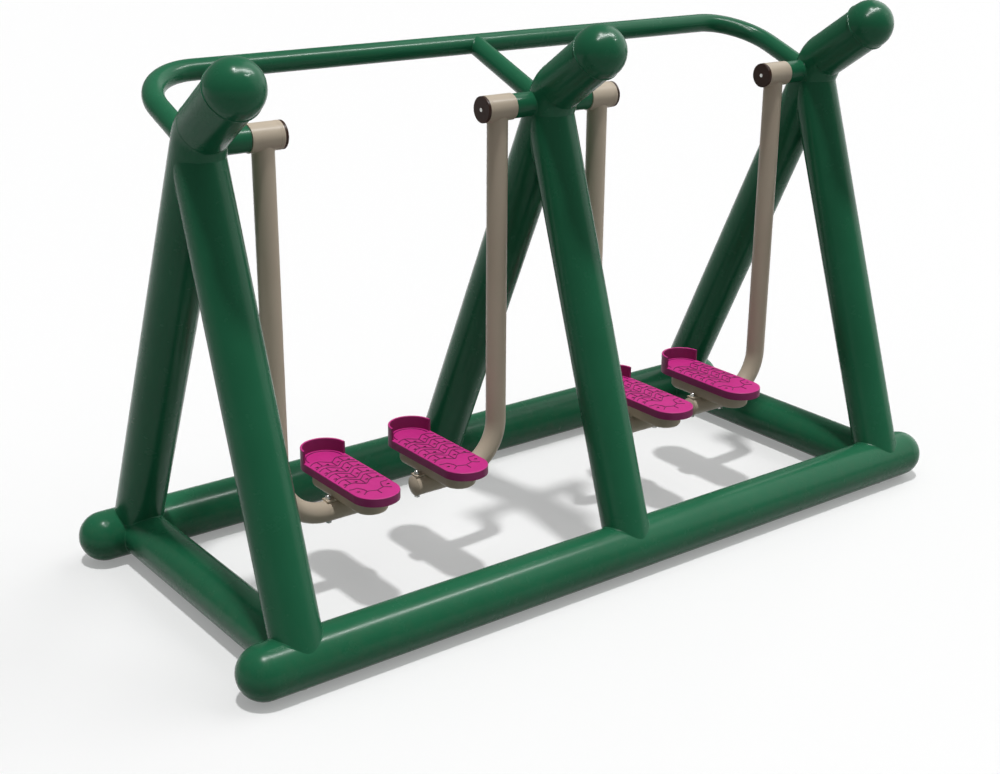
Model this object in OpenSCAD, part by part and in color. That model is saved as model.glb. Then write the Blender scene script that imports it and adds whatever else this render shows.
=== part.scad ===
// Outdoor air walker with two stations: a tubular frame and four hanging pedals.
// X runs along the base rails, the user faces +Y, Z is up and the floor is z = 0.

/* [Base] */
// Distance between neighbouring frames
frame_pitch = 884; // [700:1:1100]
// Distance between the axes of the two base rails
rail_gauge = 777; // [600:1:950]
// Outer diameter of the base rails
rail_d = 118; // [90:1:140]
// Wall of the base rails and of their domed ends
rail_wall = 4; // [2:0.5:8]
// Distance from an outer frame to the start of the dome on a rail
rail_over = 82; // [60:1:160]
// Outer diameter of the cross rails
cross_d = 112; // [80:1:116]
// Gap between the floor and the base rails
floor_gap = 4; // [2:0.5:10]
// Diameter of the anchor bushes
bush_d = 30; // [22:1:40]
// Height of the anchor bushes
bush_h = 42; // [30:1:50]
// Hole of the anchor bushes for the ground stud
bush_bore = 12; // [8:1:16]
// Depth of the hole in the anchor bushes
bush_depth = 34; // [20:1:38]

/* [Frames] */
// Outer diameter of the bent rear posts
post_d = 114; // [90:1:130]
// Outer diameter of the front legs
leg_d = 111; // [80:1:112]
// Wall of the posts, legs and cross rails
tube_wall = 4; // [2:0.5:8]
// Height of the corner where the post turns into the arm
corner_z = 1089; // [900:1:1300]
// Lean of the rear posts from upright, in degrees
rear_lean = 24.8; // [20:0.1:30]
// Lean of the front legs from upright, in degrees
front_lean = 18.5; // [14:0.5:22]
// Rise of the arms above level, in degrees
arm_rise = 34; // [20:1:50]
// Radius of the inside of the post bend
bend_inside = 8; // [4:1:240]
// Distance from the corner to the rim of the arm cap
arm_len = 164; // [110:1:260]
// Outer diameter of the arm caps
cap_d = 121; // [100:1:150]
// Length of the straight skirt of the arm caps
cap_skirt = 14; // [8:1:60]

/* [Handrail] */
// Outer diameter of the handrail
hand_d = 47; // [36:1:60]
// Outer diameter of the handrail strut
strut_d = 46; // [28:1:46]
// Wall of the handrail and its strut
hand_wall = 3; // [1.5:0.5:5]
// Distance of the handrail behind the origin
hand_y = 229; // [170:1:350]
// Height of the handrail axis
hand_z = 1156; // [1050:1:1300]
// Drop of the handrail ends below level, in degrees
hand_drop = 21; // [5:0.5:35]
// Centreline radius of the handrail bends
hand_bend_r = 140; // [80:5:180]

/* [Pivots] */
// Height of the pivots
pivot_z = 1057; // [900:1:1080]
// Distance of the pivots behind the origin, negative in front
pivot_y = -59; // [-75:1:-50]
// Outer diameter of the hubs
hub_d = 60; // [54:1:80]
// Length of the hubs
hub_len = 74; // [64:1:110]
// Distance from a frame's middle plane to the inner end of its hub
hub_start = 110; // [90:1:150]
// Outer diameter of the axle bosses
boss_d = 56; // [45:1:70]
// Running gap between a boss and its hub
hub_gap = 1; // [0.5:0.1:3]
// Diameter of the axle shafts
shaft_d = 25; // [16:1:30]
// Outer diameter of the bearings
bearing_d = 52; // [46:1:52]
// Width of the bearings
bearing_w = 15; // [10:1:18]
// Thickness of the flange of a hub cap
hub_cap_t = 7; // [4:0.5:12]
// Diameter of the screw in a hub cap
cap_screw_d = 9; // [6:0.5:12]
// Swing each way from rest, in degrees
swing = 50; // [20:1:60]

/* [Hanging tubes] */
// Outer diameter of the hanging tubes
arm_d = 48; // [36:1:54]
// Wall of the hanging tubes
arm_wall = 3; // [1.5:0.5:6]
// Distance from a frame's middle plane to the axis of a hanging tube
arm_x = 146; // [135:1:160]
// Height of the level end of the hanging tubes
arm_z = 199; // [160:1:320]
// Gap between the lower bend and the middle of the first tube bolt
bend_gap = 8; // [6:1:20]
// Dome height of the plugs in the free ends
plug_dome = 7; // [4:0.5:15]

/* [Pedals] */
// Place of a pedal's middle between its frame and the next one, as a share of the pitch
pedal_place = 0.3642; // [0.35:0.0001:0.385]
// Length of a pedal
pedal_len = 326; // [280:1:400]
// Width of a pedal
pedal_w = 111; // [106:1:130]
// Height of the pedal skirt, deck included
pedal_skirt = 20; // [16:1:36]
// Thickness of the deck and of the skirt
pedal_t = 5; // [3:0.5:7]
// Height of the toe guard above the deck
guard_h = 30; // [15:1:60]
// Radius of the rounded rims of a pedal
pedal_round = 2; // [1:0.5:2.4]
// Distance of a pedal's middle in front of its hanging tube
pedal_shift = 7; // [0:1:15]
// Diameter of the small holes in the deck
hole_d = 7; // [4:0.5:9]
// Spacing of the small holes along the deck
hole_pitch = 40.5; // [30:0.5:45]
// Spacing of the small holes across the deck
hole_spread = 27.8; // [22:0.1:29]
// Length of a pedal tray
tray_len = 253; // [220:1:270]
// Width of a pedal tray
tray_w = 80; // [70:1:82]
// Height of a pedal tray
tray_h = 51; // [40:1:70]
// Wall of a pedal tray
tray_t = 3; // [2:0.5:4]
// Radius of the lower edge of a tray
tray_round = 9; // [5:1:12]
// Width of the rim flange of a tray, each side
tray_flange = 3; // [1:0.5:3.5]
// Distance of the tube bolts from the middle of the tray
tube_bolt_x = 53; // [51:1:58]
// Diameter of the tube bolts
tube_bolt_d = 8; // [6:1:10]
// Thickness of the ears under the tube bolts' nuts
ear_t = 4; // [3:0.5:8]
// Diameter of the pedal bolts
bolt_d = 8; // [6:1:10]
// Distance of the pedal bolts from the middle of the pedal
bolt_y = 88; // [80:1:95]

/* [Hidden] */
$fn = 72;

green = [0.11, 0.36, 0.24];
beige = [0.66, 0.6, 0.53];
brown = [0.25, 0.16, 0.14];
magenta = [0.78, 0.2, 0.55];
steel = [0.75, 0.76, 0.78];

// One overrun serves all cuts
over = 1;
// Radial clearance of pieces that slide into each other on one body
slip = 0.1;
// Radial clearance between a turning and a fixed piece
run = 0.3;
// Small bevels and lips
lip = 1;
// Swell of a post's wall over its bend, where the straight tubes run into it
swell = 0.4;
// Facets of a whole turn of the post bend
bend_fn = 360;

frame_xs = [-frame_pitch, 0, frame_pitch];
// Frame of each station side and the way that its hub points
stations = [[-frame_pitch, 1], [0, -1], [0, 1], [frame_pitch, -1]];
rail_r = rail_d / 2;
rail_z = floor_gap + rail_r;
rail_y = rail_gauge / 2;
rail_half = frame_pitch + rail_over;
// Length of the spigots of the rail domes and tube plugs
spigot_len = 14;
post_r = post_d / 2;
post_bend_r = post_r + bend_inside;
corner_y = rail_y - tan(rear_lean) * (corner_z - rail_z);
post_turn = 90 - rear_lean - arm_rise;
post_tangent = post_bend_r * tan(post_turn / 2);
post_lower = (corner_z - rail_z) / cos(rear_lean) - post_tangent;
arm_straight = arm_len + cap_skirt - post_tangent;
cap_r = cap_d / 2;
// The front leg's axis meets the rear post's axis at this height
cross_up = 2 * rail_y / (tan(front_lean) + tan(rear_lean));
leg_len = cross_up / cos(front_lean);
hand_reach = (hand_y - corner_y) / cos(hand_drop);
hand_straight = frame_pitch - hand_bend_r;
boss_end = hub_start - hub_gap;
shaft_r = shaft_d / 2;
// Thickness of the rings of a bearing, and of its shields
race_t = 4;
shield_t = 1.5;
inner_ring_r = shaft_r + race_t;
race_r = bearing_d / 2 - race_t;
// Depth of the bearings in the ends of a hub
bearing_set = 2;
bearing_in = hub_start + bearing_set;
stop_start = bearing_in + bearing_w;
hub_end = hub_start + hub_len;
nut_t = 8;
nut_band = 3.5;
washer_t = 2;
// Depth of the plug of a hub cap, and its room over the nut
cap_plug = 6;
cap_room = 3;
shaft_tip = 1;
// The stop takes what the bearings, the nut and the cap leave of the hub
stop_w = hub_len - bearing_set - 2 * bearing_w - washer_t - nut_t - cap_room - cap_plug;
bearing_out = stop_start + stop_w;
washer_x = bearing_out + bearing_w;
nut_x = washer_x + washer_t;
shaft_end = nut_x + nut_t + shaft_tip;
shaft_in = post_r + washer_t;
// Clearances of the stop, its lug's half angle and the angle it keeps to spare
stop_clear = 2.5;
stop_ring_r = inner_ring_r + stop_clear;
lug_r = bearing_d / 2 - stop_clear;
lug_half = 13;
stop_gap = 2;
arm_r = arm_d / 2;
// The lower bend ends just before the tube bolts, which follow the pedal
pedal_x = pedal_place * frame_pitch;
arm_bend_r = pedal_x - arm_x - tube_bolt_x - bend_gap;
arm_drop = pivot_z - arm_z - arm_bend_r;
tube_end = pedal_x + tube_bolt_x + tube_bolt_d;
pedal_y = pivot_y - pedal_shift;
tray_z = arm_z + arm_r;
ear_w = 3 * tube_bolt_d;
ear_out = tube_bolt_x + tube_bolt_d;
dome_nut_d = 1.8 * tube_bolt_d;
dome_nut_h = 1.1 * tube_bolt_d;
bolt_head_d = 1.7 * bolt_d;
bolt_head_h = 0.6 * bolt_d;
pedal_boss_d = 2.4 * bolt_d;
bolt_reach = 22;
drain_d = 10;
hole_steps = [-1.5, -0.5, 0.5, 1.5];
hole_mean = 9.5;
heel_hole_x = 38.4;
heel_hole_y = -101;

// Places a piece's +Z axis along +X
module along_x() {
    rotate([0, 90, 0]) children();
}

// Places children at a frame's rear post foot, with +Z up the post
module up_post() {
    translate([0, rail_y, rail_z]) rotate([rear_lean, 0, 0]) children();
}

// Places children at the corner end of the bend, with +Z out along the arm
module out_arm() {
    translate([0, corner_y, corner_z]) rotate([90 - arm_rise, 0, 0])
        translate([0, 0, post_tangent]) children();
}

// Sweeps a section round a bend in the YZ plane, from +Z at the origin turning to -Y
module bend_ring(ring_r, turn) {
    translate([0, -ring_r, 0]) rotate([90, 0, 90]) rotate_extrude(angle = turn, $fn = bend_fn)
        translate([ring_r, 0]) children();
}

// The bent post as one round bar, to cut the pieces that are welded to it
module post_bar() {
    up_post() cylinder(r = post_r, h = post_lower + over);
    up_post() translate([0, 0, post_lower]) bend_ring(post_bend_r, post_turn) circle(r = post_r + swell);
    out_arm() translate([0, 0, -over]) cylinder(r = post_r, h = arm_straight + over);
}

module rail_bar(y, bar_r) {
    translate([-rail_half, y, rail_z]) along_x() cylinder(r = bar_r, h = 2 * rail_half);
}

module base_rail(y) {
    color(green) difference() {
        rail_bar(y, rail_r);
        translate([-rail_half - over, y, rail_z]) along_x()
            cylinder(r = rail_r - rail_wall, h = 2 * (rail_half + over));
        for (x = frame_xs)
            translate([x, y, 0]) cylinder(d = bush_d + 2 * slip, h = rail_z);
    }
}

module front_rail() {
    base_rail(-rail_y);
}

module rear_rail() {
    base_rail(rail_y);
}

// Section of a hollow half ball, from its rim up to its crown
module dome_section(outer_r, wall) {
    intersection() {
        difference() {
            circle(r = outer_r);
            circle(r = outer_r - wall);
        }
        square(outer_r);
    }
}

// A hollow half ball with a spigot that enters the tube below it
module dome_end(outer_r, wall) {
    spigot_r = outer_r - wall - slip;
    rotate_extrude() {
        dome_section(outer_r, wall);
        translate([spigot_r - wall, -spigot_len]) square([wall, spigot_len + 3 * wall]);
    }
}

module rail_caps() {
    color(green) for (y = [-rail_y, rail_y], side = [1, -1])
        translate([side * rail_half, y, rail_z]) rotate([0, side * 90, 0])
            dome_end(rail_r, rail_wall);
}

module cross_rail(x) {
    color(green) difference() {
        translate([x, rail_y, rail_z]) rotate([90, 0, 0]) difference() {
            cylinder(d = cross_d, h = rail_gauge);
            translate([0, 0, -over]) cylinder(r = cross_d / 2 - tube_wall, h = rail_gauge + 2 * over);
        }
        for (y = [-rail_y, rail_y]) rail_bar(y, rail_r);
        translate([x, 0, 0]) front_leg_bar(leg_d / 2);
        translate([x, 0, 0]) post_bar();
    }
}

module cross_rail_left() {
    cross_rail(-frame_pitch);
}

module cross_rail_right() {
    cross_rail(frame_pitch);
}

module front_leg_bar(bar_r) {
    translate([0, -rail_y, rail_z]) rotate([-front_lean, 0, 0]) cylinder(r = bar_r, h = leg_len);
}

module front_leg(x) {
    color(green) translate([x, 0, 0]) difference() {
        front_leg_bar(leg_d / 2);
        translate([0, -rail_y, rail_z]) rotate([-front_lean, 0, 0])
            translate([0, 0, -over]) cylinder(r = leg_d / 2 - tube_wall, h = leg_len + 2 * over);
        rail_bar(-rail_y, rail_r);
        post_bar();
    }
}

module front_leg_left() {
    front_leg(-frame_pitch);
}

module front_leg_middle() {
    front_leg(0);
}

module front_leg_right() {
    front_leg(frame_pitch);
}

module post(x) {
    bore_r = post_r - tube_wall;
    color(green) translate([x, 0, 0]) {
        difference() {
            up_post() cylinder(r = post_r, h = post_lower + over);
            up_post() translate([0, 0, -over]) cylinder(r = bore_r, h = post_lower + 3 * over);
            rail_bar(rail_y, rail_r);
        }
        up_post() translate([0, 0, post_lower]) bend_ring(post_bend_r, post_turn) difference() {
            circle(r = post_r + swell);
            circle(r = bore_r - swell);
        }
        out_arm() translate([0, 0, -over]) difference() {
            cylinder(r = post_r, h = arm_straight + over);
            translate([0, 0, -over]) cylinder(r = bore_r, h = arm_straight + 3 * over);
        }
    }
}

module post_left() {
    post(-frame_pitch);
}

module post_middle() {
    post(0);
}

module post_right() {
    post(frame_pitch);
}

// Domed caps that slide over the ends of the arms, each with a raised rim
module arm_caps() {
    color(green) for (x = frame_xs) translate([x, 0, 0]) out_arm()
        translate([0, 0, arm_straight]) rotate_extrude() {
            dome_section(cap_r, tube_wall);
            translate([post_r + slip, -cap_skirt]) square([cap_r - post_r - slip, cap_skirt]);
            translate([post_r - tube_wall, 0]) square([cap_r - post_r + tube_wall - lip, tube_wall]);
        }
}

module handrail_bar(bar_r) {
    translate([0, hand_y, hand_z]) rotate([hand_drop, 0, 0]) {
        translate([-hand_straight, 0, 0]) along_x() cylinder(r = bar_r, h = 2 * hand_straight);
        for (side = [0, 1]) mirror([side, 0, 0]) translate([hand_straight, -hand_bend_r, 0]) {
            rotate_extrude(angle = 90) translate([hand_bend_r, 0]) circle(r = bar_r);
            translate([hand_bend_r, 0, 0]) rotate([90, 0, 0])
                cylinder(r = bar_r, h = hand_reach - hand_bend_r);
        }
    }
}

module handrail() {
    color(green) difference() {
        handrail_bar(hand_d / 2);
        handrail_bar(hand_d / 2 - hand_wall);
        for (x = [-frame_pitch, frame_pitch])
            translate([x, 0, 0]) post_bar();
    }
}

module handrail_strut() {
    color(green) difference() {
        translate([0, hand_y, hand_z]) rotate([90 + hand_drop, 0, 0]) difference() {
            cylinder(d = strut_d, h = hand_reach);
            translate([0, 0, -over]) cylinder(r = strut_d / 2 - hand_wall, h = hand_reach + 2 * over);
        }
        translate([-strut_d, hand_y, hand_z]) along_x() cylinder(d = hand_d, h = 2 * strut_d);
        post_bar();
    }
}

// Children are placed on the pivot axis of one station side, +Z pointing away from its frame
module at_hub(place) {
    translate([place[0], pivot_y, pivot_z]) rotate([0, place[1] * 90, 0]) children();
}

module axle_bosses() {
    color(green) for (place = stations) difference() {
        at_hub(place) union() {
            cylinder(d = boss_d, h = boss_end);
            cylinder(r = inner_ring_r, h = bearing_in);
        }
        at_hub(place) cylinder(r = shaft_r + slip, h = bearing_in + over);
        translate([place[0], 0, 0]) post_bar();
    }
}

module axle_shafts() {
    color(steel) for (place = stations)
        at_hub(place) translate([0, 0, shaft_in]) cylinder(r = shaft_r, h = shaft_end - shaft_in);
}

// A flat ring along +Z
module ring(outer_r, bore_r, h) {
    difference() {
        cylinder(r = outer_r, h = h);
        translate([0, 0, -over]) cylinder(r = bore_r, h = h + 2 * over);
    }
}

module bearing_inner_rings() {
    color(steel) for (place = stations, z = [bearing_in, bearing_out])
        at_hub(place) translate([0, 0, z]) ring(inner_ring_r, shaft_r + slip, bearing_w);
}

module stop_collars() {
    color(steel) for (place = stations)
        at_hub(place) translate([0, 0, stop_start]) {
            ring(inner_ring_r, shaft_r + slip, stop_w);
            rotate([0, 0, place[1] > 0 ? 180 : 0]) rotate([0, 0, -lug_half]) translate([0, 0, lip])
                rotate_extrude(angle = 2 * lug_half)
                    translate([inner_ring_r - lip, 0])
                        square([lug_r - inner_ring_r + lip, stop_w - 2 * lip]);
        }
}

module axle_nuts() {
    color(steel) for (place = stations) {
        at_hub(place) translate([0, 0, washer_x]) ring(inner_ring_r - run, shaft_r + slip, washer_t);
        at_hub(place) translate([0, 0, nut_x]) difference() {
            cylinder(r = (shaft_r + nut_band) / cos(30), h = nut_t, $fn = 6);
            translate([0, 0, -over]) cylinder(r = shaft_r + slip, h = nut_t + 2 * over);
        }
    }
}

module anchor_bushes() {
    color(steel) for (x = frame_xs, y = [-rail_y, rail_y])
        translate([x, y, 0]) difference() {
            cylinder(d = bush_d, h = bush_h);
            translate([0, 0, -over]) cylinder(d = bush_bore, h = bush_depth + over);
        }
}

// Hub tube with the stop ring inside; its gap is at the top, where the collar's lug swings
module hub(place) {
    stop_half = lug_half + swing + stop_gap;
    color(beige) at_hub(place) {
        translate([0, 0, hub_start]) ring(hub_d / 2, bearing_d / 2 + slip, hub_len);
        rotate([0, 0, place[1] > 0 ? 180 + stop_half : stop_half]) translate([0, 0, stop_start])
            rotate_extrude(angle = 360 - 2 * stop_half)
                translate([stop_ring_r, 0]) square([bearing_d / 2 + lip - stop_ring_r, stop_w]);
    }
}

module hub_bearings(place) {
    color(steel) for (z = [bearing_in, bearing_out])
        at_hub(place) translate([0, 0, z]) rotate_extrude() {
            translate([race_r, 0]) square([bearing_d / 2 - race_r, bearing_w]);
            for (at = [0, bearing_w - shield_t])
                translate([inner_ring_r + run, at])
                    square([race_r - inner_ring_r - run + lip, shield_t]);
        }
}

module hub_cap(place) {
    color(brown) at_hub(place) difference() {
        union() {
            translate([0, 0, hub_end]) cylinder(d = hub_d, h = hub_cap_t - lip);
            translate([0, 0, hub_end + hub_cap_t - lip])
                cylinder(d1 = hub_d, d2 = hub_d - 2 * lip, h = lip);
            translate([0, 0, hub_end - cap_plug]) cylinder(d = bearing_d - 2 * slip, h = cap_plug + lip);
        }
        translate([0, 0, hub_end - cap_plug - over])
            cylinder(d = bearing_d - 3 * tube_wall, h = cap_plug + over);
        translate([0, 0, hub_end - over])
            cylinder(d = cap_screw_d / 2 + 2 * slip, h = hub_cap_t + 2 * over);
    }
}

module cap_screw(place) {
    color(steel) at_hub(place) {
        translate([0, 0, hub_end]) cylinder(d = cap_screw_d / 2, h = hub_cap_t);
        translate([0, 0, hub_end + hub_cap_t]) cylinder(d = cap_screw_d, h = lip);
    }
}

// The run of a hanging tube as a round bar: down, round the bend and under the pedal
module hanging_bar(place, bar_r) {
    translate([place[0], pivot_y, 0]) mirror([place[1] > 0 ? 0 : 1, 0, 0]) {
        translate([arm_x, 0, arm_z + arm_bend_r]) cylinder(r = bar_r, h = arm_drop);
        translate([arm_x + arm_bend_r, 0, arm_z + arm_bend_r]) rotate([90, 0, 0])
            rotate([0, 0, 180]) rotate_extrude(angle = 90)
                translate([arm_bend_r, 0]) circle(r = bar_r);
        translate([arm_x + arm_bend_r, 0, arm_z]) along_x()
            cylinder(r = bar_r, h = tube_end - arm_x - arm_bend_r);
    }
}

module hanging_tube(place) {
    color(beige) difference() {
        hanging_bar(place, arm_r);
        hanging_bar(place, arm_r - arm_wall);
        tube_bolt_holes(place);
        at_hub(place) translate([0, 0, hub_start - over]) cylinder(d = hub_d, h = hub_len + 2 * over);
    }
}

module tube_plug(place) {
    plug_ball = (pow(arm_r, 2) + pow(plug_dome, 2)) / (2 * plug_dome);
    color(beige) difference() {
        translate([place[0], pivot_y, arm_z]) rotate([0, place[1] * 90, 0]) translate([0, 0, tube_end]) {
            rotate_extrude() intersection() {
                translate([0, plug_dome - plug_ball]) circle(r = plug_ball);
                square([arm_r, plug_dome]);
            }
            translate([0, 0, -spigot_len]) cylinder(r = arm_r - arm_wall - slip, h = spigot_len + lip);
        }
        tube_bolt_holes(place);
    }
}

// Children are placed at the middle of a pedal, at the height of its tube's top
module at_pedal(place) {
    translate([place[0] + place[1] * pedal_x, pedal_y, tray_z]) children();
}

// The upright holes through a hanging tube and its plug, under the ears of its tray
module tube_bolt_holes(place) {
    for (x = [-tube_bolt_x, tube_bolt_x])
        at_pedal(place) translate([x, pedal_shift, -2 * arm_r - over])
            cylinder(d = tube_bolt_d + 2 * slip, h = 2 * arm_r + 2 * over);
}

// A long round-ended solid of a given edge profile; the profile's x = 0 is on the middle line
module long_round(len, width) {
    mid = (len - width) / 2;
    for (way = [0, 180]) rotate([0, 0, way]) translate([0, mid, 0])
        rotate_extrude(angle = 180) children();
    translate([0, mid, 0]) rotate([90, 0, 0]) linear_extrude(2 * mid) {
        children();
        mirror([1, 0, 0]) children();
    }
}

// Edge profile of a plate with its lower outer edge rounded
module low_round(half, round_r, h) {
    square([half - round_r, h]);
    translate([0, round_r]) square([half, h - round_r]);
    translate([half - round_r, round_r]) intersection() {
        circle(r = round_r);
        translate([0, -round_r]) square(round_r);
    }
}

module tray(place) {
    color(beige) at_pedal(place) difference() {
        union() {
            long_round(tray_len, tray_w) low_round(tray_w / 2, tray_round, tray_h);
            translate([0, 0, tray_h - tray_t])
                long_round(tray_len + 2 * tray_flange, tray_w + 2 * tray_flange)
                    square([tray_w / 2 + tray_flange, tray_t]);
            translate([-ear_out, pedal_shift - ear_w / 2, 0]) cube([2 * ear_out, ear_w, ear_t]);
        }
        translate([0, 0, tray_t]) long_round(tray_len - 2 * tray_t, tray_w - 2 * tray_t)
            low_round(tray_w / 2 - tray_t, tray_round - tray_t, tray_h + over);
        for (x = [-tube_bolt_x, tube_bolt_x])
            translate([x, pedal_shift, -over]) cylinder(d = tube_bolt_d + 2 * slip, h = ear_t + 2 * over);
        for (y = [-bolt_y, bolt_y])
            translate([0, y, -over]) cylinder(d = bolt_d + 2 * slip, h = tray_t + 2 * over);
        for (y = [-bolt_y - drain_d * 2, bolt_y + drain_d * 2])
            translate([0, y, -over]) cylinder(d = drain_d, h = tray_t + 2 * over);
    }
}

// Edge profile of the pedal's deck and skirt, closed on top
module deck_profile(half, skirt, round_r) {
    translate([0, -skirt]) square([half, skirt - round_r]);
    square_top = half - round_r;
    translate([0, -round_r - lip]) square([square_top, round_r + lip]);
    translate([square_top, -round_r]) intersection() {
        circle(r = round_r);
        square(round_r);
    }
}

module toe_guard() {
    mid = (pedal_len - pedal_w) / 2;
    half = pedal_w / 2;
    translate([0, mid, 0]) rotate_extrude(angle = 180) {
        translate([half - pedal_t, -pedal_t]) square([pedal_t, guard_h + pedal_t - pedal_round]);
        translate([half - pedal_t + pedal_round, guard_h - pedal_round - lip])
            square([pedal_t - 2 * pedal_round, pedal_round + lip]);
        for (x = [half - pedal_t + pedal_round, half - pedal_round])
            translate([x, guard_h - pedal_round]) circle(r = pedal_round);
    }
}

module pedal(place) {
    deck_up = tray_h + pedal_t;
    color(magenta) at_pedal(place) difference() {
        union() {
            difference() {
                translate([0, 0, deck_up]) long_round(pedal_len, pedal_w)
                    deck_profile(pedal_w / 2, pedal_skirt, pedal_round);
                translate([0, 0, deck_up - pedal_skirt - over])
                    long_round(pedal_len - 2 * pedal_t, pedal_w - 2 * pedal_t)
                        square([pedal_w / 2 - pedal_t, pedal_skirt - pedal_t + over]);
            }
            translate([0, 0, deck_up]) toe_guard();
            for (y = [-bolt_y, bolt_y])
                translate([0, y, tray_t]) cylinder(d = pedal_boss_d, h = tray_h + lip - tray_t);
        }
        for (y = [-bolt_y, bolt_y])
            translate([0, y, -over]) cylinder(d = bolt_d + 2 * slip, h = bolt_reach + 2 * over);
        for (across = hole_steps, step = hole_steps)
            translate([across * hole_spread, hole_mean + step * hole_pitch, tray_h - over])
                cylinder(d = hole_d, h = pedal_t + 2 * over);
        for (x = [-heel_hole_x, heel_hole_x])
            translate([x, heel_hole_y, tray_h - over]) cylinder(d = hole_d, h = pedal_t + 2 * over);
    }
}

// A bolt up through the tube and an ear of the tray, with its dome nut
module tube_bolt() {
    translate([0, 0, -2 * arm_r - bolt_head_h]) cylinder(d = dome_nut_d, h = bolt_head_h, $fn = 6);
    translate([0, 0, -2 * arm_r]) cylinder(d = tube_bolt_d, h = 2 * arm_r + ear_t + dome_nut_h / 2);
    translate([0, 0, ear_t]) difference() {
        union() {
            cylinder(d = dome_nut_d, h = dome_nut_h / 2, $fn = 6);
            translate([0, 0, dome_nut_h / 2]) intersection() {
                sphere(d = dome_nut_d * cos(30));
                cylinder(d = dome_nut_d, h = dome_nut_d);
            }
        }
        translate([0, 0, -over]) cylinder(d = tube_bolt_d + 2 * slip, h = dome_nut_h / 2 + slip + over);
    }
}

module pedal_fixings(place) {
    color(steel) at_pedal(place) {
        for (x = [-tube_bolt_x, tube_bolt_x]) translate([x, pedal_shift, 0]) tube_bolt();
        for (y = [-bolt_y, bolt_y]) translate([0, y, 0]) {
            translate([0, 0, -bolt_head_h]) cylinder(d = bolt_head_d, h = bolt_head_h, $fn = 6);
            cylinder(d = bolt_d, h = bolt_reach);
        }
    }
}

front_rail();
rear_rail();
rail_caps();
cross_rail_left();
cross_rail_right();
front_leg_left();
front_leg_middle();
front_leg_right();
post_left();
post_middle();
post_right();
arm_caps();
handrail();
handrail_strut();
axle_bosses();
axle_shafts();
bearing_inner_rings();
stop_collars();
axle_nuts();
anchor_bushes();
hub(stations[0]);  // hub_1
hub_bearings(stations[0]);  // hub_bearings_1
hub_cap(stations[0]);  // hub_cap_1
cap_screw(stations[0]);  // cap_screw_1
hanging_tube(stations[0]);  // hanging_tube_1
tube_plug(stations[0]);  // tube_plug_1
tray(stations[0]);  // tray_1
pedal(stations[0]);  // pedal_1
pedal_fixings(stations[0]);  // pedal_fixings_1
hub(stations[1]);  // hub_2
hub_bearings(stations[1]);  // hub_bearings_2
hub_cap(stations[1]);  // hub_cap_2
cap_screw(stations[1]);  // cap_screw_2
hanging_tube(stations[1]);  // hanging_tube_2
tube_plug(stations[1]);  // tube_plug_2
tray(stations[1]);  // tray_2
pedal(stations[1]);  // pedal_2
pedal_fixings(stations[1]);  // pedal_fixings_2
hub(stations[2]);  // hub_3
hub_bearings(stations[2]);  // hub_bearings_3
hub_cap(stations[2]);  // hub_cap_3
cap_screw(stations[2]);  // cap_screw_3
hanging_tube(stations[2]);  // hanging_tube_3
tube_plug(stations[2]);  // tube_plug_3
tray(stations[2]);  // tray_3
pedal(stations[2]);  // pedal_3
pedal_fixings(stations[2]);  // pedal_fixings_3
hub(stations[3]);  // hub_4
hub_bearings(stations[3]);  // hub_bearings_4
hub_cap(stations[3]);  // hub_cap_4
cap_screw(stations[3]);  // cap_screw_4
hanging_tube(stations[3]);  // hanging_tube_4
tube_plug(stations[3]);  // tube_plug_4
tray(stations[3]);  // tray_4
pedal(stations[3]);  // pedal_4
pedal_fixings(stations[3]);  // pedal_fixings_4
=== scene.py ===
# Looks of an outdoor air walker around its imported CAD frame: paint, plastic, steel, welds and treads.
import bpy
import math
from mathutils import Matrix, Vector


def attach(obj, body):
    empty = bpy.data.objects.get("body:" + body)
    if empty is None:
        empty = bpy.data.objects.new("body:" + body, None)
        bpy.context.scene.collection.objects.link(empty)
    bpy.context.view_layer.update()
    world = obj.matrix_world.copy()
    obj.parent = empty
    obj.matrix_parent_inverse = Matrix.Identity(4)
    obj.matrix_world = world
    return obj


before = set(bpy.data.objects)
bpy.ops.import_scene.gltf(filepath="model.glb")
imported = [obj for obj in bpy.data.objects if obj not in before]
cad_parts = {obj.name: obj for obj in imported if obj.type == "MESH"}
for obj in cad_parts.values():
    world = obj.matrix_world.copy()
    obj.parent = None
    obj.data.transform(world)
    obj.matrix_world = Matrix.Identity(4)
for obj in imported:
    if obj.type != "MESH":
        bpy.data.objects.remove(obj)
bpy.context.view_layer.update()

# Sizes repeated from the CAD source, in metres and radians
MM = 0.001
PITCH = 0.884                                           # from one frame to the next
RAIL_Y, RAIL_Z, RAIL_R = 0.3885, 0.063, 0.059           # base rails
CROSS_R, LEG_R, POST_R = 0.056, 0.0555, 0.057           # cross rails, front legs and rear posts
REAR_LEAN, FRONT_LEAN = math.radians(24.8), math.radians(18.5)
CORNER_Z, BEND_R = 1.089, 0.065                         # where a post turns into its arm
ARM_RISE, ARM_LEN, CAP_R = math.radians(34), 0.164, 0.0605
HAND_Y, HAND_Z, HAND_R = 0.229, 1.156, 0.0235           # handrail
HAND_DROP, STRUT_R = math.radians(21), 0.023            # the fall of its ends and of its strut
PIVOT_Y, PIVOT_Z = -0.059, 1.057
BOSS_R, HUB_R, HUB_OUT = 0.028, 0.03, 0.184             # on the pivot line, with the hub's far end
TUBE_X, TUBE_R = 0.146, 0.024                           # hanging tubes, from their frame
PEDAL_X, PEDAL_Y, DECK_Z = 0.32195, -0.066, 0.279
PEDAL_LEN, PEDAL_W = 0.326, 0.111
FRAMES = [("left", -PITCH), ("middle", 0), ("right", PITCH)]
STATIONS = [(-PITCH, 1), (0, -1), (0, 1), (PITCH, -1)]  # each pendulum's frame and its side of it

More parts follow.
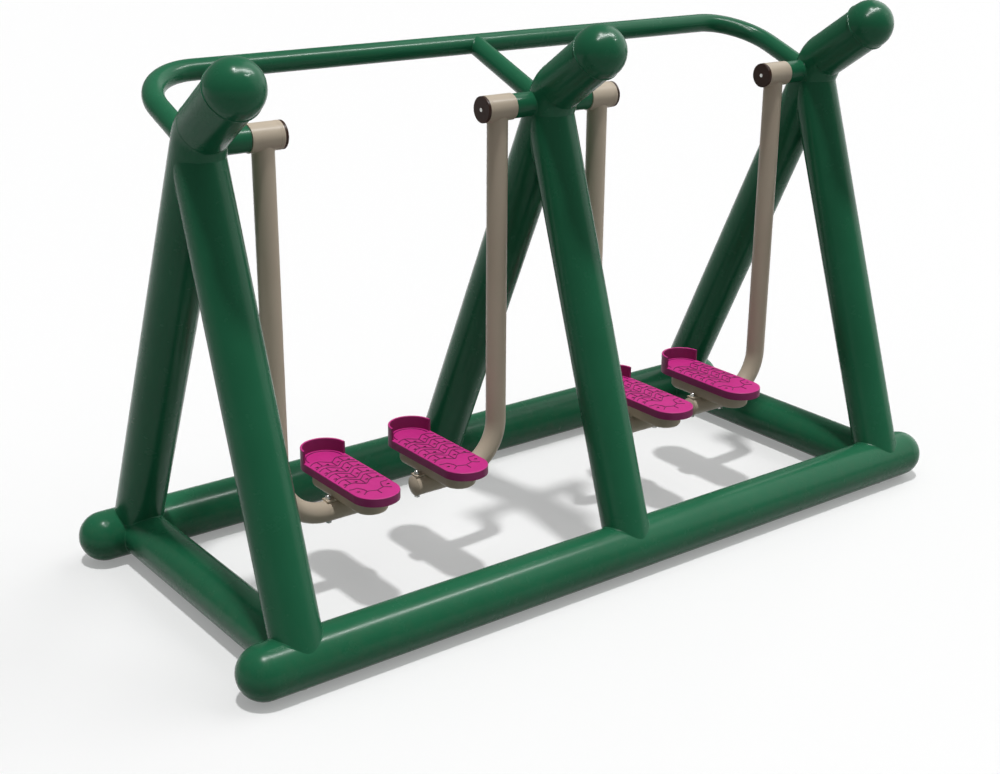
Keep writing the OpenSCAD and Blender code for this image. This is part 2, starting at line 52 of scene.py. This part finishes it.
# Lines of the frame that follow from them
CORNER_Y = RAIL_Y - math.tan(REAR_LEAN) * (CORNER_Z - RAIL_Z)
TANGENT = BEND_R * math.tan((math.pi / 2 - REAR_LEAN - ARM_RISE) / 2)
X_AXIS, Y_AXIS, Z_AXIS = Vector((1, 0, 0)), Vector((0, 1, 0)), Vector((0, 0, 1))
POST_UP = Vector((0, -math.sin(REAR_LEAN), math.cos(REAR_LEAN)))
POST_FRONT = Vector((0, -math.cos(REAR_LEAN), -math.sin(REAR_LEAN)))
LEG_UP = Vector((0, math.sin(FRONT_LEAN), math.cos(FRONT_LEAN)))
ARM_OUT = Vector((0, -math.cos(ARM_RISE), math.sin(ARM_RISE)))
HAND_IN = Vector((0, -math.cos(HAND_DROP), -math.sin(HAND_DROP)))


# Materials
def srgb(r, g, b):
    """Linear colour of an 8-bit display colour."""
    def lin(c):
        c /= 255
        return c / 12.92 if c <= 0.04045 else ((c + 0.055) / 1.055) ** 2.4
    return (lin(r), lin(g), lin(b), 1)


class Nodes:
    """A short way to build a material's node tree."""

    def __init__(self, name):
        self.mat = bpy.data.materials.new(name)
        self.mat.use_nodes = True
        self.tree = self.mat.node_tree
        self.tree.nodes.clear()
        self.out = self.add("ShaderNodeOutputMaterial")
        self.bsdf = self.add("ShaderNodeBsdfPrincipled")
        self.link(self.bsdf, "BSDF", self.out, "Surface")
        self.coord = self.add("ShaderNodeTexCoord")

    def add(self, kind, **facts):
        """A new node with the given settings."""
        n = self.tree.nodes.new(kind)
        for k, v in facts.items():
            setattr(n, k, v)
        return n

    def link(self, a, out, b, into):
        """Links an output of one node to an input of another."""
        self.tree.links.new(a.outputs[out], b.inputs[into])

    def noise(self, scale, detail, rough, stretch=None):
        """Noise in the object's own space, stretched along its axes where asked."""
        n = self.add("ShaderNodeTexNoise")
        n.inputs["Scale"].default_value = scale
        n.inputs["Detail"].default_value = detail
        n.inputs["Roughness"].default_value = rough
        if stretch:
            m = self.add("ShaderNodeMapping")
            m.inputs["Scale"].default_value = stretch
            self.link(self.coord, "Object", m, "Vector")
            self.link(m, "Vector", n, "Vector")
        else:
            self.link(self.coord, "Object", n, "Vector")
        return n

    def split(self, out):
        """The parts of one of the object's coordinates."""
        n = self.add("ShaderNodeSeparateXYZ")
        self.link(self.coord, out, n, "Vector")
        return n

    def span(self, source, lo, hi, a=0.0, b=1.0, out=0):
        """Maps a source from lo..hi to a..b, clamped."""
        n = self.add("ShaderNodeMapRange")
        n.inputs["From Min"].default_value = lo
        n.inputs["From Max"].default_value = hi
        n.inputs["To Min"].default_value = a
        n.inputs["To Max"].default_value = b
        self.link(source, out, n, "Value")
        return n

    def mix(self, fac, a, b):
        """Mixes two colours, written or from other mixes, by a value node."""
        n = self.add("ShaderNodeMix", data_type="RGBA")
        self.link(fac, 0, n, "Factor")
        for socket, c in ((6, a), (7, b)):
            if isinstance(c, tuple):
                n.inputs[socket].default_value = c
            else:
                self.link(c, 2, n, socket)
        return n

    def bump(self, layers):
        """Chains bumps of (source, distance, strength)."""
        last = None
        for source, distance, strength in layers:
            n = self.add("ShaderNodeBump")
            n.inputs["Distance"].default_value = distance
            n.inputs["Strength"].default_value = strength
            self.link(source, 0, n, "Height")
            if last:
                self.link(last, "Normal", n, "Normal")
            last = n
        self.link(last, "Normal", self.bsdf, "Normal")

    def finish(self, colour, rough=None, **values):
        """The material, with its colour and roughness linked and the shader's plain values set."""
        self.link(colour, 2, self.bsdf, "Base Color")
        if rough:
            self.link(rough, 0, self.bsdf, "Roughness")
        for k, v in values.items():
            self.bsdf.inputs[k.replace("_", " ")].default_value = v
        return self.mat


# How high dust lies on the paint, and how deep the reliefs of paint and steel are
DUST_TOP, RIPPLE, ORANGE_PEEL, STEEL_LINES = 0.16, 0.4 * MM, 0.1 * MM, 0.1 * MM


def paint(name, base, deep, dust, rough, spec):
    """Powder-coat paint: a little orange peel, drifting tone, and dust low down."""
    m = Nodes(name)
    drift = m.noise(3.5, detail=3, rough=0.55)
    fleck = m.noise(420, detail=2, rough=0.6)
    patch = m.noise(38, detail=4, rough=0.65)
    grain = m.noise(26, detail=3, rough=0.6)
    wave = m.noise(9, detail=1, rough=0.4)
    peel = m.noise(330, detail=2, rough=0.45)
    tone = m.mix(m.span(drift, 0.32, 0.68), deep, base)
    spot = m.mix(m.span(fleck, 0.66, 0.8, b=0.35), tone, base)
    soil = m.add("ShaderNodeMath", operation="MULTIPLY")
    m.link(m.span(m.split("Object"), 0, DUST_TOP, a=1, b=0, out="Z"), 0, soil, 0)
    m.link(m.span(patch, 0.42, 0.75, b=0.3), 0, soil, 1)
    m.bump([(wave, RIPPLE, 0.1), (peel, ORANGE_PEEL, 0.12)])
    return m.finish(m.mix(soil, spot, dust),
                    m.span(grain, 0.3, 0.7, a=rough - 0.03, b=rough + 0.06), Specular_IOR_Level=spec)


def plastic(name, base, deep, worn, rough, grain, grain_depth, spec=0.25, side=None):
    """Moulded plastic: fine grain, mottled tone, rubbed patches, and painted shade in a darker colour
    on upright faces.
    """
    m = Nodes(name)
    drift = m.noise(16, detail=4, rough=0.6)
    rub = m.noise(60, detail=5, rough=0.7, stretch=(1.6, 0.5, 1))
    colour = m.mix(m.span(drift, 0.3, 0.7), deep, base)
    colour = m.mix(m.span(rub, 0.58, 0.8, b=0.3), colour, worn)
    # Painted shade: faces whose normal points little upward take the darker side colour
    if side:
        colour = m.mix(m.span(m.split("Normal"), 0.3, 0.85, out="Z"), side, colour)
    m.bump([(m.noise(grain, detail=2, rough=0.5), grain_depth, 0.35)])
    return m.finish(colour, m.span(rub, 0.4, 0.7, a=rough, b=rough + 0.14), Specular_IOR_Level=spec)


def steel(name, base, dull, rough, stretch):
    """Turned or plated steel: fine lines along one way and a cloudy tone."""
    m = Nodes(name)
    cloud = m.noise(70, detail=3, rough=0.6)
    lines = m.noise(900, detail=2, rough=0.5, stretch=stretch)
    m.bump([(lines, STEEL_LINES, 0.3)])
    return m.finish(m.mix(m.span(cloud, 0.35, 0.7), base, dull),
                    m.span(lines, 0.3, 0.7, a=rough - 0.05, b=rough + 0.1), Metallic=1.0)


MATS = {
    "green_paint": paint("green_paint", srgb(35, 105, 73), srgb(31, 98, 67),
                         dust=srgb(88, 106, 84), rough=0.23, spec=0.14),
    "beige_paint": paint("beige_paint", srgb(198, 184, 165), srgb(190, 176, 157),
                         dust=srgb(150, 140, 122), rough=0.3, spec=0.12),
    "brown_plastic": plastic("brown_plastic", srgb(62, 38, 28), srgb(50, 31, 23),
                             worn=srgb(80, 56, 44), rough=0.34, grain=800, grain_depth=0.2 * MM,
                             spec=0.14),
    # The side colour is painted shade on the pedals' skirts and toe guards
    "magenta_plastic": plastic("magenta_plastic", srgb(208, 42, 140), srgb(196, 37, 130),
                               worn=srgb(212, 70, 150), rough=0.42, grain=700, grain_depth=0.3 * MM,
                               side=srgb(134, 38, 94)),
    "bright_steel": steel("bright_steel", srgb(214, 214, 212), dull=srgb(176, 176, 172),
                          rough=0.24, stretch=(1, 1, 0.1)),
    "bearing_steel": steel("bearing_steel", srgb(186, 186, 190), dull=srgb(150, 150, 152),
                           rough=0.34, stretch=(0.1, 1, 1)),
}
# The raised lines of the treads are darker than the deck: painted shade, as though they lay in their
# own shadow
SHADED_TREAD = plastic("magenta_tread_shaded", srgb(116, 20, 84), srgb(96, 16, 70), worn=srgb(150, 40, 108),
                  rough=0.5, grain=700, grain_depth=0.3 * MM)
# How the names of the CAD nodes with each finish begin
LOOKS = {
    "green_paint": ("front_rail", "rear_rail", "rail_caps", "cross_rail", "front_leg", "post",
                    "arm_caps", "handrail", "axle_bosses"),
    "beige_paint": ("hub_1", "hub_2", "hub_3", "hub_4", "hanging_tube", "tube_plug", "tray"),
    "brown_plastic": ("hub_cap",),
    "magenta_plastic": ("pedal_1", "pedal_2", "pedal_3", "pedal_4"),
    "bearing_steel": ("hub_bearings", "bearing_inner_rings", "axle_shafts", "stop_collars"),
    "bright_steel": ("axle_nuts", "anchor_bushes", "cap_screw", "pedal_fixings"),
}
for node_name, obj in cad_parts.items():
    looks = [slot for slot, starts in LOOKS.items() if node_name.startswith(starts)]
    if not looks:
        raise RuntimeError("no look for " + node_name)
    for material_slot in obj.material_slots:
        material_slot.material = MATS[looks[0]]


# Objects and meshes
def placed(name, data):
    """A new object in the scene."""
    obj = bpy.data.objects.new(name, data)
    bpy.context.scene.collection.objects.link(obj)
    return obj


def piece(name, mesh_data, slot, body, finish=None):
    """A mesh piece that rides on a CAD body and takes its slot's finish, or the finish given."""
    verts, faces = mesh_data
    mesh = bpy.data.meshes.new(name)
    mesh.from_pydata(verts, [], faces)
    mesh.validate()
    mesh.materials.append(finish or MATS[slot])
    mesh.shade_smooth()
    obj = placed(name, mesh)
    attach(obj, body)


def sweep(rings, closed):
    """Vertices and faces that join rings of points in order; closed joins the last to the first."""
    size, count = len(rings[0]), len(rings)
    verts = [tuple(p) for ring in rings for p in ring]
    faces = []
    for i in range(count if closed else count - 1):
        a, b = i * size, (i + 1) % count * size
        for k in range(size):
            n = (k + 1) % size
            faces.append((a + k, a + n, b + n, b + k))
    if not closed:
        faces.append(tuple(range(size - 1, -1, -1)))
        faces.append(tuple(range((count - 1) * size, count * size)))
    return verts, faces


def joined(meshes):
    """The vertices and faces of several meshes as one."""
    verts, faces = [], []
    for more_verts, more_faces in meshes:
        base = len(verts)
        verts += more_verts
        faces += [tuple(base + k for k in face) for face in more_faces]
    return verts, faces


def full_turn(steps):
    """Angles once round a circle."""
    return [2 * math.pi * i / steps for i in range(steps)]


def round_axis(axis, steps):
    """Directions square to an axis, once round it."""
    side = axis.orthogonal().normalized()
    other = axis.cross(side)
    return [side * math.cos(a) + other * math.sin(a) for a in full_turn(steps)]


# Gaps: functions that give a point's distance from the skin of bars of the frame
def line_gap(origin, axis, radius):
    """From a round bar without ends."""
    origin, axis = Vector(origin), axis.normalized()
    return lambda p: ((p - origin) - axis * (p - origin).dot(axis)).length - radius


def bar_gap(middle, axis, radius, half):
    """From a round bar that ends at half its length each way from its middle."""
    skin, middle = line_gap(middle, axis, radius), Vector(middle)
    return lambda p: max(skin(p), abs((p - middle).dot(axis)) - half)


def post_gap(x):
    """From the bent post at x."""
    foot, corner = Vector((x, RAIL_Y, RAIL_Z)), Vector((x, CORNER_Y, CORNER_Z))
    post, arm = line_gap(foot, POST_UP, POST_R), line_gap(corner, ARM_OUT, POST_R)
    start = corner - POST_UP * TANGENT
    centre = start + POST_FRONT * BEND_R

    def gap(p):
        if (p - start).dot(POST_UP) <= 0:
            return post(p)
        if (p - corner).dot(ARM_OUT) >= TANGENT:
            return arm(p)
        flat = Vector((0, p.y - centre.y, p.z - centre.z)).length - BEND_R
        return math.hypot(flat, p.x - x) - POST_R
    return gap


def nearest(*gaps):
    """From the nearest of several."""
    return lambda p: min(gap(p) for gap in gaps)


# Welds: a bead along the line where one round bar enters other bars
BEAD_W, FINE_BEAD_W = 2.2 * MM, 1.8 * MM
BEAD_STEPS, FINE_BEAD_STEPS, BEAD_SIDES = 168, 96, 6
BEAD_SINK, BEAD_BULGE, BEAD_ROOT = 0.3 * MM, 0.08 * MM, 1.2 * MM
GRAZE = 2                                               # beads thin where skins are within 60 degrees
MARCH_STEPS, HALVINGS, SLOPE_STEP = 160, 30, 0.01 * MM
# Where each weld is looked for: from one place along its bar to another
POST_FOOT, LEG_FOOT, LEG_TOP = (0.6, 0), (0.5, 0), (0.4, 1.2)
HAND_END, STRUT_START, BOSS_FOOT, TUBE_TOP = (0.1, 0.33), (0.15, 0), (0.105, 0), (0.2, 0)


def entry(at, gap, start, end):
    """The point where a line, searched from one place along it to another, enters the bars."""
    step = (end - start) / MARCH_STEPS
    t = start
    while abs(t - start) < abs(end - start) and gap(at(t)) > 0:
        t += step
    outside, inside = t - step, t
    for _ in range(HALVINGS):
        mid = (outside + inside) / 2
        outside, inside = (mid, inside) if gap(at(mid)) > 0 else (outside, mid)
    return at(inside)


def skin_normal(gap, p):
    """The outward direction of the bars' skin at a point on it."""
    steps = [axis * SLOPE_STEP for axis in (X_AXIS, Y_AXIS, Z_AXIS)]
    return Vector([gap(p + step) - gap(p - step) for step in steps]).normalized()


def weld(name, origin, axis, radius, gap, search, fine=False, slot="green_paint", body="frame"):
    """A bead all round a bar where it enters the bars that the gap belongs to."""
    origin, axis = Vector(origin), axis.normalized()
    width, steps = (FINE_BEAD_W, FINE_BEAD_STEPS) if fine else (BEAD_W, BEAD_STEPS)
    shares = [k / BEAD_SIDES for k in range(BEAD_SIDES + 1)]
    rings = []
    for normal in round_axis(axis, steps):
        p = entry(lambda t: origin + axis * t + normal * radius, gap, *search)
        skin = skin_normal(gap, p)
        along = (skin - normal * skin.dot(normal)).normalized()
        across = (normal - skin * normal.dot(skin)).normalized()
        reach = width * min(1, GRAZE * (1 - normal.dot(skin)))
        a = p + along * reach - normal * BEAD_SINK
        b = p + across * reach - skin * BEAD_SINK
        bulge = (along + across).normalized() * BEAD_BULGE
        ring = [a.lerp(b, s) + bulge * math.sin(math.pi * s) for s in shares]
        rings.append(ring + [p - (normal + skin).normalized() * BEAD_ROOT])
    piece(name, sweep(rings, closed=True), slot, body)


front_rail = line_gap((0, -RAIL_Y, RAIL_Z), X_AXIS, RAIL_R)
rear_rail = line_gap((0, RAIL_Y, RAIL_Z), X_AXIS, RAIL_R)
handrail = line_gap((0, HAND_Y, HAND_Z), X_AXIS, HAND_R)
for frame_name, x in FRAMES:
    post_foot, leg_foot, cross_mid = (x, RAIL_Y, RAIL_Z), (x, -RAIL_Y, RAIL_Z), (x, 0, RAIL_Z)
    outer = x != 0
    cross_rails = [bar_gap(cross_mid, Y_AXIS, CROSS_R, RAIL_Y)] if outer else []
    at_front, at_rear = nearest(front_rail, *cross_rails), nearest(rear_rail, *cross_rails)
    weld("weld_post_" + frame_name, post_foot, POST_UP, POST_R, at_rear, POST_FOOT)
    weld("weld_leg_foot_" + frame_name, leg_foot, LEG_UP, LEG_R, at_front, LEG_FOOT)
    weld("weld_leg_top_" + frame_name, leg_foot, LEG_UP, LEG_R, post_gap(x), LEG_TOP)
    if outer:
        hand = (x, HAND_Y, HAND_Z)
        weld("weld_cross_front_" + frame_name, cross_mid, Y_AXIS, CROSS_R, front_rail, (0, -RAIL_Y))
        weld("weld_cross_rear_" + frame_name, cross_mid, Y_AXIS, CROSS_R, rear_rail, (0, RAIL_Y))
        weld("weld_handrail_" + frame_name, hand, HAND_IN, HAND_R, post_gap(x), HAND_END, fine=True)
weld("weld_strut_post", (0, HAND_Y, HAND_Z), HAND_IN, STRUT_R, post_gap(0), HAND_END, fine=True)
weld("weld_strut_rail", (0, HAND_Y, HAND_Z), HAND_IN, STRUT_R, handrail, STRUT_START, fine=True)
for n, (x, way) in enumerate(STATIONS, 1):
    pivot, tube_top = (x, PIVOT_Y, PIVOT_Z), (x + way * TUBE_X, PIVOT_Y, PIVOT_Z)
    weld(f"weld_boss_{n}", pivot, X_AXIS * way, BOSS_R, post_gap(x), BOSS_FOOT, fine=True)
    weld(f"weld_hub_{n}", tube_top, -Z_AXIS, TUBE_R, line_gap(pivot, X_AXIS, HUB_R), TUBE_TOP,
         fine=True, slot="beige_paint", body=f"pendulum_{n}")

# Rolled rims at the arm caps and turned rings on the hubs
HOOP_STEPS, HOOP_SIDES = 96, 10
RIM_PAST, RIM_IN, RIM_THICK = 1.2 * MM, 0.7 * MM, 2.1 * MM
HUB_RING_FROM_END, HUB_RING_IN, HUB_RING_THICK = (3.5 * MM, 8 * MM), 0.5 * MM, 0.9 * MM


def hoop(name, centre, axis, radius, thick, slot, body):
    """A ring of round wire; thick is the wire's own radius."""
    axis = axis.normalized()
    rings = [[centre + normal * (radius + thick * math.cos(a)) + axis * thick * math.sin(a)
              for a in full_turn(HOOP_SIDES)] for normal in round_axis(axis, HOOP_STEPS)]
    piece(name, sweep(rings, closed=True), slot, body)


for frame_name, x in FRAMES:
    centre = Vector((x, CORNER_Y, CORNER_Z)) + ARM_OUT * (ARM_LEN + RIM_PAST)
    hoop("rim_" + frame_name, centre, ARM_OUT, CAP_R - RIM_IN, RIM_THICK, "green_paint", "frame")
for n, (x, way) in enumerate(STATIONS, 1):
    for k, from_end in enumerate(HUB_RING_FROM_END, 1):
        centre = Vector((x + way * (HUB_OUT - from_end), PIVOT_Y, PIVOT_Z))
        hoop(f"hub_ring_{n}_{k}", centre, X_AXIS, HUB_R - HUB_RING_IN, HUB_RING_THICK,
             "beige_paint", f"pendulum_{n}")

# Raised treads, in millimetres from the middle of a deck: waves across the foot in pairs, walls
# between the drain holes, lines at the heel and an outline at the toes
HOLE_X, HOLE_Y, HOLE_MID = 27.8, 40.5, 9.5
HOLE_STEPS = (-1.5, -0.5, 0.5, 1.5)
HEEL_HOLES = [(-38.4, -101), (38.4, -101)]
WAVE_ROWS, WAVE_TOP, SECOND_WAVE = 4, 96, 27
HALF_WAVE = [(51, -11), (41, -3), (32.5, 0), (22, 0), (15, -6), (7, -14.5)]
MIDDLE_WALL = [(0, -19.5), (0.3, -32), (0, -46)]
SIDE_WALL = [(HOLE_X, 0), (HOLE_X * 0.985, -11), (HOLE_X, -SECOND_WAVE)]
HEEL_SIDE = [(50, -81), (41, -83), (31, -81.5), (27, -88), (22.5, -97), (21, -108)]
HEEL_FORK = [(36, -120), (30, -116), (21, -108), (12, -112), (0, -116.5)]
HEEL_STEM = [(0, -116.5), (0, -125), (0, -135)]
TOE_R, TOE_TURN, TOE_STEPS = 43, math.radians(96), 16
TOE_MID = (PEDAL_LEN - PEDAL_W) / 2 / MM
# A raised line in section, as shares of its width and height, and the section of a drain hole's lip
RIDGE_W, RIDGE_H, RIDGE_END = 2.3, 1.2, 0.55
HALF_RIDGE = [(0.5, -0.4), (0.5, 0.25), (0.38, 0.8), (0.16, 1)]
LIP, LIP_STEPS = [(3.55, -0.4), (3.6, 0.3), (4.2, 0.8), (5, 0.8), (5.9, 0.3), (6.2, -0.4)], 28


def mirrored(line):
    """The same line on the left side."""
    return [(-x, y) for x, y in line]


def smooth(points, rounds=2, cut=0.25):
    """Cuts the corners of a line and keeps its end points."""
    for _ in range(rounds):
        between = [(ax + (bx - ax) * s, ay + (by - ay) * s)
                   for (ax, ay), (bx, by) in zip(points, points[1:]) for s in (cut, 1 - cut)]
        points = [points[0]] + between + [points[-1]]
    return points


def ridge(path):
    """A raised line along a path on the deck, smaller at its two ends."""
    line, section = smooth(path), mirrored(HALF_RIDGE) + HALF_RIDGE[::-1]
    rings = []
    for i, (x, y) in enumerate(line):
        ax, ay = line[max(i - 1, 0)]
        bx, by = line[min(i + 1, len(line) - 1)]
        length = math.hypot(bx - ax, by - ay)
        nx, ny = (by - ay) / length, (ax - bx) / length
        end = RIDGE_END if i in (0, len(line) - 1) else 1
        wide, high = RIDGE_W * end, RIDGE_H * end
        rings.append([(x + nx * u * wide, y + ny * u * wide, v * (high if v > 0 else RIDGE_H))
                      for u, v in section])
    return sweep(rings, closed=False)


def lip(cx, cy):
    """A low ring round a drain hole."""
    rings = [[(cx + r * math.cos(a), cy + r * math.sin(a), z) for r, z in LIP]
             for a in full_turn(LIP_STEPS)]
    return sweep(rings, closed=True)


tread = []
wave = mirrored(HALF_WAVE) + [MIDDLE_WALL[0]] + HALF_WAVE[::-1]
second_wave = [(x, y - SECOND_WAVE) for x, y in wave]
for row in range(WAVE_ROWS):
    top = WAVE_TOP - row * HOLE_Y
    for line in (wave, mirrored(SIDE_WALL), SIDE_WALL, MIDDLE_WALL, second_wave):
        tread.append([(x, top + y) for x, y in line])
tread += [mirrored(HEEL_SIDE), mirrored(HEEL_FORK), HEEL_SIDE, HEEL_FORK, HEEL_STEM]
toe_turns = [TOE_TURN * (2 * i / TOE_STEPS - 1) for i in range(TOE_STEPS + 1)]
tread.append([(TOE_R * math.sin(a), TOE_MID + TOE_R * math.cos(a)) for a in toe_turns])
holes = [(column * HOLE_X, HOLE_MID + row * HOLE_Y) for column in HOLE_STEPS for row in HOLE_STEPS]
ridges, lips = joined(map(ridge, tread)), joined(lip(*hole) for hole in holes + HEEL_HOLES)
for n, (x, way) in enumerate(STATIONS, 1):
    place = Vector((x + way * PEDAL_X, PEDAL_Y, DECK_Z))
    # The treads take the darker finish, which is painted shade
    for name, (verts, faces), finish in (("tread", ridges, SHADED_TREAD), ("hole_lips", lips, None)):
        moved = [tuple(Vector(v) * MM + place) for v in verts]
        piece(f"{name}_{n}", (moved, faces), "magenta_plastic", f"pendulum_{n}", finish)

# Floor: near white to the camera and in reflections, with the object's shadow, and grey otherwise
FLOOR_HALF = 30
FLOOR_GREY, FLOOR_SEEN, FLOOR_GLOW = (0.2, 0.2, 0.2, 1), (0.64, 0.64, 0.64, 1), 0.25


def floor_finish():
    """A matt floor whose tone depends on the kind of ray that meets it."""
    m = Nodes("floor_tone")
    path = m.add("ShaderNodeLightPath")
    both = m.add("ShaderNodeMath", operation="ADD", use_clamp=True)
    seen = m.add("ShaderNodeMath", operation="ADD", use_clamp=True)
    m.link(path, "Is Camera Ray", both, 0)
    m.link(path, "Is Glossy Ray", both, 1)
    m.link(both, 0, seen, 0)
    m.link(path, "Is Transmission Ray", seen, 1)
    m.link(m.span(seen, 0, 1, b=FLOOR_GLOW), 0, m.bsdf, "Emission Strength")
    return m.finish(m.mix(seen, FLOOR_GREY, FLOOR_SEEN),
                    Roughness=0.95, Specular_IOR_Level=0.05, Emission_Color=(1, 1, 1, 1))


corners = [(x * FLOOR_HALF, y * FLOOR_HALF, 0) for x, y in ((-1, -1), (1, -1), (1, 1), (-1, 1))]
mesh = bpy.data.meshes.new("floor")
mesh.from_pydata(corners, [], [(0, 1, 2, 3)])
mesh.materials.append(floor_finish())
floor = placed("floor", mesh)

# Studio: soft light from all sides, and white where the camera sees past the floor
AMBIENT, BACKDROP = 0.29, 1.0
world = bpy.data.worlds.new("studio")
bpy.context.scene.world = world
world.use_nodes = True
tree = world.node_tree
tree.nodes.clear()
out = tree.nodes.new("ShaderNodeOutputWorld")
back = tree.nodes.new("ShaderNodeBackground")
path = tree.nodes.new("ShaderNodeLightPath")
level = tree.nodes.new("ShaderNodeMapRange")
level.inputs["To Min"].default_value = AMBIENT
level.inputs["To Max"].default_value = BACKDROP
back.inputs["Color"].default_value = (1, 1, 1, 1)
tree.links.new(path.outputs["Is Camera Ray"], level.inputs["Value"])
tree.links.new(level.outputs[0], back.inputs["Strength"])
tree.links.new(back.outputs[0], out.inputs["Surface"])


# Lamps
def lamp(name, kind, power):
    """A lamp in the scene, still to be sized and turned."""
    data = bpy.data.lights.new(name, kind)
    data.energy = power
    return placed(name, data)


def sun(name, toward, power, spread):
    """A parallel lamp that shines from the given direction, with its spread in degrees."""
    obj = lamp(name, "SUN", power)
    obj.data.angle = math.radians(spread)
    obj.rotation_mode = "QUATERNION"
    obj.rotation_quaternion = (-Vector(toward)).to_track_quat("-Z", "Y")


def gloss_strip(name, at, tilt, length, width, power):
    """A long lamp overhead that only shows as a line of gloss."""
    obj = lamp(name, "AREA", power)
    obj.data.shape, obj.data.size, obj.data.size_y = "RECTANGLE", length, width
    obj.location, obj.rotation_euler = at, (tilt, 0, 0)
    obj.visible_diffuse = False


sun("key_light", toward=(-0.06, -0.12, 1), power=2.05, spread=4)
sun("side_light", toward=(0.9, -0.1, 0.45), power=1.6, spread=75)
gloss_strip("strip_light", at=(0.4, -0.9, 3.4), tilt=-0.2, length=3.2, width=0.12, power=200)

# Camera, fitted to the photographed view: angles in radians, focal length in pixels of its width
CAMERA_AT = (-2.2083, -2.7959, 1.6454)
YAW, PITCH_DOWN, ROLL = 0.6487, 0.3501, 0.0073
FOCAL, WIDTH, SENSOR = 1533.2, 1000, 36
NEAR, FAR = 0.05, 120
level_ahead, down = math.cos(PITCH_DOWN), math.sin(PITCH_DOWN)
ahead = Vector((math.sin(YAW) * level_ahead, math.cos(YAW) * level_ahead, -down))
level_right = Vector((math.cos(YAW), -math.sin(YAW), 0))
level_up = level_right.cross(ahead)
right = level_right * math.cos(ROLL) + level_up * math.sin(ROLL)
up = -level_right * math.sin(ROLL) + level_up * math.cos(ROLL)
camera_data = bpy.data.cameras.new("camera")
camera_data.sensor_width = SENSOR
camera_data.lens = FOCAL / WIDTH * SENSOR
camera_data.clip_start, camera_data.clip_end = NEAR, FAR
camera = placed("camera", camera_data)
camera.matrix_world = Matrix((right, up, -ahead)).transposed().to_4x4()
camera.location = CAMERA_AT
bpy.context.scene.camera = camera
bpy.context.scene.view_settings.view_transform = "Standard"
